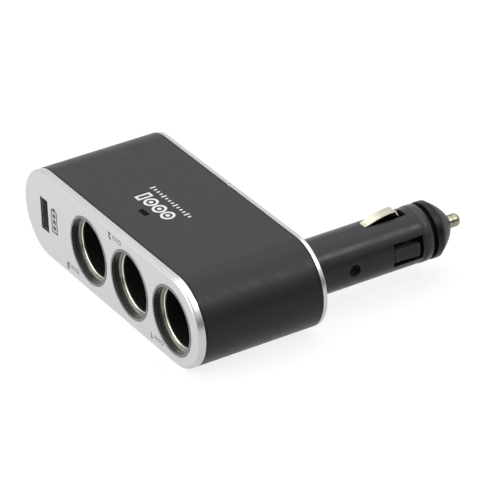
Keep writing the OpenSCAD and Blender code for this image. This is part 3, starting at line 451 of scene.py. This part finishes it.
def board_green():
    """Solder mask over copper tracks that show as slightly raised, paler lines."""
    m = Nodes("board_green", (0.02, 0.13, 0.06), 0.35)
    tracks = m.add("ShaderNodeTexBrick", Vector=m.place, Scale=300.0)
    tracks.inputs["Mortar Size"].default_value = 0.06
    lines = tracks.outputs["Fac"]
    m.set("Base Color", m.blend(lines, (0.018, 0.11, 0.05), (0.05, 0.24, 0.11)))
    m.bump([(lines, 0.02 * MM), (m.noise(0.3 * MM), 0.004 * MM)], 0.05 * MM)
    return m.material


def soft(name, colour, roughness, sheen=0.1, specular=0.5):
    """Soft insulation or rubber, with a slight bloom."""
    m = Nodes(name, colour, roughness, Specular_IOR_Level=specular)
    bloom = m.span(m.noise(1.5 * MM, 3.0), 0.4, 0.7, 0, 0.3)
    m.set("Base Color", m.blend(bloom, colour, [c * 1.6 + 0.002 for c in colour]))
    m.set("Sheen Weight", sheen)
    m.bump([(m.noise(0.15 * MM, 3.0), 0.006 * MM)], 0.05 * MM)
    return m.material


def capacitor_sleeve():
    return soft("capacitor_sleeve", (0.02, 0.025, 0.05), 0.3, 0)


def light_red():
    return soft("light_red", (0.4, 0.03, 0.025), 0.12, 0)


def wire_red():
    return soft("wire_red", (0.36, 0.02, 0.015), 0.42)


def wire_black():
    return soft("wire_black", (0.012, 0.012, 0.013), 0.45)


def seal_rubber():
    return soft("seal_rubber", (0.004, 0.004, 0.0045), 0.7, 0, 0.1)


def fuse_glass():
    """Clear thin glass with faint drawn lines."""
    m = Nodes("fuse_glass", (0.93, 0.96, 0.97), 0.04)
    m.set("Transmission Weight", 0.9)
    m.set("IOR", 1.5)
    m.bump([(m.noise(0.4 * MM, 2.0, (1, 20, 1)), 0.003 * MM)])
    return m.material


def print_white():
    """Screen-printed ink, a little uneven at the edges."""
    m = Nodes("print_white", (0.88, 0.88, 0.875), 0.5)
    thin = m.noise(0.25 * MM, 3.0)
    cover = m.span(thin, 0.25, 0.6, 0, 1)
    m.set("Base Color", m.blend(cover, (0.7, 0.7, 0.695), (0.93, 0.93, 0.925)))
    m.bump([(thin, 0.006 * MM)])
    return m.material


def print_dark(name, thin_tone, full_tone):
    """Screen-printed dark ink on the silver face, paler where it is thin."""
    m = Nodes(name, full_tone, 0.5)
    cover = m.span(m.noise(0.2 * MM, 3.0), 0.25, 0.6, 0, 1)
    m.set("Base Color", m.blend(cover, thin_tone, full_tone))
    m.bump([(cover, 0.002 * MM)])
    return m.material


SLOT_MATERIALS = {
    make.__name__: make() for make in (
        sleeve_black, body_silver, window_red, mouth_chrome, shell_nickel, insulator_brown, contact_brass,
        tinned_steel, dark_plastic, board_green, capacitor_sleeve, light_red, wire_red, wire_black,
        screw_steel, plug_black, contact_nickel, seal_rubber, fuse_glass, fuse_metal,
    )
}


def dress_frame():
    """Gives every carried-over node the material of its slot."""
    for part in frame["record"]["subparts"]:
        node = frame["nodes"][part["node"]]
        node.data.materials.clear()
        node.data.materials.append(SLOT_MATERIALS[part["material_slot"]])


# Pieces added to the frame


def link(name, vertices, faces, material, body, smooth=True):
    """A mesh piece that rides on a body."""
    mesh = bpy.data.meshes.new(name)
    mesh.from_pydata(vertices, [], faces)
    mesh.update()
    for face in mesh.polygons:
        face.use_smooth = smooth
    piece = bpy.data.objects.new(name, mesh)
    bpy.context.scene.collection.objects.link(piece)
    mesh.materials.append(material)
    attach(piece, body)
    return piece


def swept_tube(points, radius, sides):
    """Vertices and faces of a closed tube along points."""
    vertices, faces = [], []
    for i, point in enumerate(points):
        along = (points[min(i + 1, len(points) - 1)] - points[max(i - 1, 0)]).normalized()
        across = along.cross(Vector((0, 1, 0))).normalized()
        over = along.cross(across)
        for k in range(sides):
            turn = 2 * math.pi * k / sides
            vertices.append(point + (across * math.cos(turn) + over * math.sin(turn)) * radius)
    last = len(points) - 1
    for i in range(last):
        for k in range(sides):
            a, b = i * sides + k, i * sides + (k + 1) % sides
            faces.append((a, b, b + sides, a + sides))
    faces.append(tuple(range(sides))[::-1])
    faces.append(tuple(last * sides + k for k in range(sides)))
    return vertices, faces


# Thickness of the prints, and the corners of a printed circle
INK = 0.015 * MM
INK_SIDES = 40


def on_face(u, v):
    """A point of the front face, u to the left and v down in mm, so that marks stand on their heads."""
    return Vector((MIDDLE_X - u * MM, FRONT_Y - INK, -v * MM))


def on_top(u, v):
    """A point of the sleeve's top, u to the right and v back from the front in mm."""
    return Vector((MIDDLE_X + u * MM, FRONT_Y + v * MM, TOP_Z + INK))


def bar(u, v, width, height):
    """The corners of a bar around a middle."""
    return [(u + a * width / 2, v + b * height / 2) for a, b in ((-1, -1), (1, -1), (1, 1), (-1, 1))]


def circle(u, v, r):
    turns = [2 * math.pi * k / INK_SIDES for k in range(INK_SIDES)]
    return [(u + r * math.cos(t), v + r * math.sin(t)) for t in turns]


def ink(name, shapes, place, material):
    """One print of (outside, hole or None) outlines. A hole has as many corners as its outside."""
    vertices, faces = [], []
    for outside, hole in shapes:
        start, n = len(vertices), len(outside)
        vertices += [place(*point) for point in outside + (hole or [])]
        if hole:
            for k in range(n):
                a, b = start + k, start + (k + 1) % n
                faces.append((a, b, b + n, a + n))
        else:
            faces.append(tuple(range(start, start + n)))
    return link(name, vertices, faces, material, "housing", smooth=False)


# The 1's stem and how far its flag comes down, in mm
STEM = 0.45
FLAG = 0.55
# How much fatter the digits are than the font's, as a share of its size
BOLDER = 0.045


def digit(text, u, v, width, height):
    """A digit of the plain built-in font, fitted to a box, as flat points and faces."""
    if text == "1":
        # The font's is a bare bar, so this one has a flag of its own
        stem, top = u + width - STEM, v + height
        flag = [(stem, top), (u, top - FLAG), (u, top - 2 * FLAG), (stem, top - FLAG)]
        return bar(stem + STEM / 2, v + height / 2, STEM, height) + flag, [(0, 1, 2, 3), (4, 5, 6, 7)]
    curve = bpy.data.curves.new("digit", "FONT")
    curve.body = text
    curve.offset = BOLDER
    maker = bpy.data.objects.new("digit", curve)
    mesh = maker.to_mesh()
    points = [vertex.co.copy() for vertex in mesh.vertices]
    faces = [tuple(face.vertices) for face in mesh.polygons]
    maker.to_mesh_clear()
    bpy.data.objects.remove(maker)
    low = Vector(min(p[k] for p in points) for k in range(2))
    size = Vector(max(p[k] for p in points) for k in range(2)) - low
    flat = [(u + (p.x - low.x) / size.x * width, v + (p.y - low.y) / size.y * height) for p in points]
    return flat, faces


# All in mm: for each socket, the place and size of its digit, and where its sign starts
SOCKET_MARKS = {
    "1": (-29.6, 12.1, 1.1, 2.6, -36.9),
    "2": (-2.9, -15.0, 1.9, 2.75, -10.1),
    "3": (29.6, 12.3, 1.9, 2.75, 22.9),
}
# A socket's sign: how far its middle is down from the digit's v, its ring's radii, and its ticks
SIGN_MIDDLE = 0.9
SIGN_RING = (0.95, 0.6)
SIGN_TICKS = 4
TICK_START = 2.9
TICK_PITCH = 1
TICK_WIDTH = 0.42
TICK_HEIGHTS = (1.7, 1.1)
# The battery sign beside the USB slot: its middle, and the sizes of its case, hollow, pole and cells
BATTERY = (39.6, 0.25)
CASE = (4.4, 9.4)
HOLLOW = (3.1, 8.1)
POLE = (2.0, 0.9)
POLE_RISE = 5.15
CELL = (2.1, 1.75)
CELL_PITCH = 2.45


def face_marks():
    """A number and a plain sign for each socket, and a battery sign beside the USB slot."""
    black = print_dark("print_black", (0.03, 0.03, 0.032), (0.012, 0.012, 0.013))
    grey = print_dark("print_grey", (0.13, 0.13, 0.135), (0.055, 0.055, 0.06))
    for text, (u, v, width, height, start) in SOCKET_MARKS.items():
        flat, faces = digit(text, u, v, width, height)
        corners = [on_face(*p) for p in flat]
        link(f"mark_{text}", corners, faces, black, "housing", smooth=False)
        middle = v + SIGN_MIDDLE
        outer, inner = SIGN_RING
        shapes = [(circle(start + outer, middle, outer), circle(start + outer, middle, inner))]
        for k in range(SIGN_TICKS):
            at = start + TICK_START + TICK_PITCH * k
            shapes.append((bar(at, middle, TICK_WIDTH, TICK_HEIGHTS[k % 2]), None))
        ink(f"sign_{text}", shapes, on_face, grey)
    u, v = BATTERY
    shapes = [(bar(u, v, *CASE), bar(u, v, *HOLLOW)), (bar(u, v - POLE_RISE, *POLE), None)]
    shapes += [(bar(u, v + CELL_PITCH * k, *CELL), None) for k in (-1, 0, 1)]
    ink("sign_charging", shapes, on_face, grey)


# All in mm: the map's port and sockets on one line, and the row of ticks, with every fourth one long
MAP_V = 20.95
MAP_PORT_U = -10.0
MAP_PORT = (3.2, 6.2)
MAP_PORT_HOLLOW = (1.4, 4.4)
MAP_SOCKETS_U = (-4.9, 0.9, 6.7)
MAP_SOCKET_RADII = (2.75, 1.75, 0.85)
SCALE_START = (-13.8, 26.8)
SCALE_PITCH = 1.97
SCALE_TICKS = 14
SCALE_WIDTH = 0.75
SCALE_HEIGHTS = (2.2, 1.3, 1.3, 1.3)


def top_marks(material):
    """A plain map of the front in white, a port and three sockets, with a row of ticks behind it."""
    shapes = [(bar(MAP_PORT_U, MAP_V, *MAP_PORT), bar(MAP_PORT_U, MAP_V, *MAP_PORT_HOLLOW))]
    for u in MAP_SOCKETS_U:
        outer, inner, middle = (circle(u, MAP_V, r) for r in MAP_SOCKET_RADII)
        shapes += [(outer, inner), (middle, None)]
    u, v = SCALE_START
    for k in range(SCALE_TICKS):
        height = SCALE_HEIGHTS[k % len(SCALE_HEIGHTS)]
        shapes.append((bar(u + SCALE_PITCH * k, v, SCALE_WIDTH, height), None))
    ink("top_marks", shapes, on_top, material)


# Heights over the barrel of the collar's top, its ends and its inside, and the length of its slopes
COLLAR_RISE = 0.16 * MM
COLLAR_LIP = 0.02 * MM
COLLAR_SINK = -0.1 * MM
COLLAR_SLOPE = 0.15 * MM
COLLAR_SIDES = 96


def barrel_collar():
    """The slightly raised band at the front of the plug's barrel."""
    outline = [
        (COLLAR_LIP, COLLAR_START),
        (COLLAR_RISE, COLLAR_START + COLLAR_SLOPE),
        (COLLAR_RISE, COLLAR_END - COLLAR_SLOPE),
        (COLLAR_LIP, COLLAR_END),
        (COLLAR_SINK, COLLAR_END),
        (COLLAR_SINK, COLLAR_START),
    ]
    n = len(outline)
    vertices = []
    for k in range(COLLAR_SIDES):
        turn = 2 * math.pi * k / COLLAR_SIDES
        for rise, y in outline:
            r = BARREL_RADIUS + rise
            vertices.append(Vector((r * math.cos(turn), y, r * math.sin(turn))))
    faces = []
    for k in range(COLLAR_SIDES):
        a, b = k * n, (k + 1) % COLLAR_SIDES * n
        faces += [(a + i, a + (i + 1) % n, b + (i + 1) % n, b + i) for i in range(n)]
    link("barrel_collar", vertices, faces, SLOT_MATERIALS["plug_black"], "housing")


# The coil: radius of its wire, its turns, and the steps along it and round its wire
SPRING_WIRE = 0.35 * MM
SPRING_TURNS = 3.5
SPRING_STEPS = 140
WIRE_SIDES = 12


def fuse_spring():
    """The coil behind the fuse, round in section, in place of the frame's spring."""
    reach = (spring_high.x - spring_low.x) / 2 - SPRING_WIRE
    start, end = spring_low.y + SPRING_WIRE, spring_high.y - SPRING_WIRE
    points = []
    for k in range(SPRING_STEPS + 1):
        turn = 2 * math.pi * SPRING_TURNS * k / SPRING_STEPS
        y = start + (end - start) * k / SPRING_STEPS
        points.append(Vector((reach * math.cos(turn), y, reach * math.sin(turn))))
    vertices, faces = swept_tube(points, SPRING_WIRE, WIRE_SIDES)
    spring = link("fuse_spring_coil", vertices, faces, SLOT_MATERIALS["fuse_metal"], "housing")
    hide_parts("fuse_spring")
    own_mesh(spring)


# The floor and the surroundings


def seen_directly(tree):
    """1 for rays from the camera, from gloss and through glass, and 0 for light on the pieces."""
    path = tree.nodes.new("ShaderNodeLightPath")
    seen = path.outputs["Is Camera Ray"]
    for name in ("Is Glossy Ray", "Is Transmission Ray"):
        seen = maths(tree, "MAXIMUM", seen, path.outputs[name])
    return seen


# Half the floor's size in metres, its gap under the body, its own tone and its glow when seen directly
FLOOR_HALF = 3.0
FLOOR_GAP = 0.02 * MM
FLOOR_COLOUR = 0.24
FLOOR_GLOW = 0.84
# The light that the surroundings cast, a dark patch low on one side of them, and what is left of its light
WORLD_LIGHT = 0.2
DARK_PATCH = (("X", 0.35, 0.6), ("Z", 0.42, 0.22))
DARK_LEFT = 0.1


def make_stage():
    """A floor that takes the object's shadow, and that is brighter where it is seen directly."""
    floor_mesh = bpy.data.meshes.new("floor")
    z = bezel_low.z - FLOOR_GAP
    corners = [(a * FLOOR_HALF, b * FLOOR_HALF, z) for a, b in ((-1, -1), (1, -1), (1, 1), (-1, 1))]
    floor_mesh.from_pydata(corners, [], [(0, 1, 2, 3)])
    floor = bpy.data.objects.new("floor", floor_mesh)
    bpy.context.scene.collection.objects.link(floor)
    m = Nodes("floor", (FLOOR_COLOUR,) * 3, 0.9, Specular_IOR_Level=0.0)
    m.set("Emission Color", (1, 1, 1, 1))
    m.set("Emission Strength", m.maths("MULTIPLY", seen_directly(m.tree), FLOOR_GLOW))
    floor_mesh.materials.append(m.material)


def make_world():
    """Soft light from all round, seen as white, with a dark patch low on one side that gloss shows."""
    world = bpy.data.worlds.new("world")
    bpy.context.scene.world = world
    world.use_nodes = True
    tree = world.node_tree
    background = tree.nodes["Background"]
    background.inputs["Color"].default_value = (1, 1, 1, 1)
    way = tree.nodes.new("ShaderNodeSeparateXYZ")
    feed(tree, way.inputs[0], tree.nodes.new("ShaderNodeTexCoord").outputs["Generated"])
    dark = 1
    for axis, none, full in DARK_PATCH:
        dark = maths(tree, "MULTIPLY", dark, span(tree, way.outputs[axis], none, full, 0, 1))
    strength = span(tree, seen_directly(tree), 0, 1, WORLD_LIGHT, 1)
    kept = span(tree, dark, 0, 1, 1, DARK_LEFT)
    feed(tree, background.inputs["Strength"], maths(tree, "MULTIPLY", strength, kept))


# Each lamp's place in mm, its width and height in mm, and its power in watts. All point at LAMP_AIM
LAMPS = {
    "overhead": ((-150, 100, 900), (1200, 1200), 6.3),
    "front": ((-250, -800, 250), (700, 500), 4.4),
    "rim": ((450, 400, 680), (210, 210), 1.7),
}
LAMP_AIM = (-40, -20, 0)


def make_lamp(name, place, size, power):
    """A rectangular area lamp."""
    data = bpy.data.lights.new(name, "AREA")
    data.shape = "RECTANGLE"
    data.size, data.size_y = size[0] * MM, size[1] * MM
    data.energy = power
    lamp = bpy.data.objects.new(name, data)
    bpy.context.scene.collection.objects.link(lamp)
    lamp.location = Vector(place) * MM
    lamp.rotation_euler = (Vector(LAMP_AIM) - Vector(place)).to_track_quat("-Z", "Y").to_euler()


make_camera()
dress_frame()
fuse_spring()
barrel_collar()
face_marks()
top_marks(print_white())
make_stage()
make_world()
for lamp, facts in LAMPS.items():
    make_lamp(lamp, *facts)
bpy.context.scene.view_settings.view_transform = "Standard"
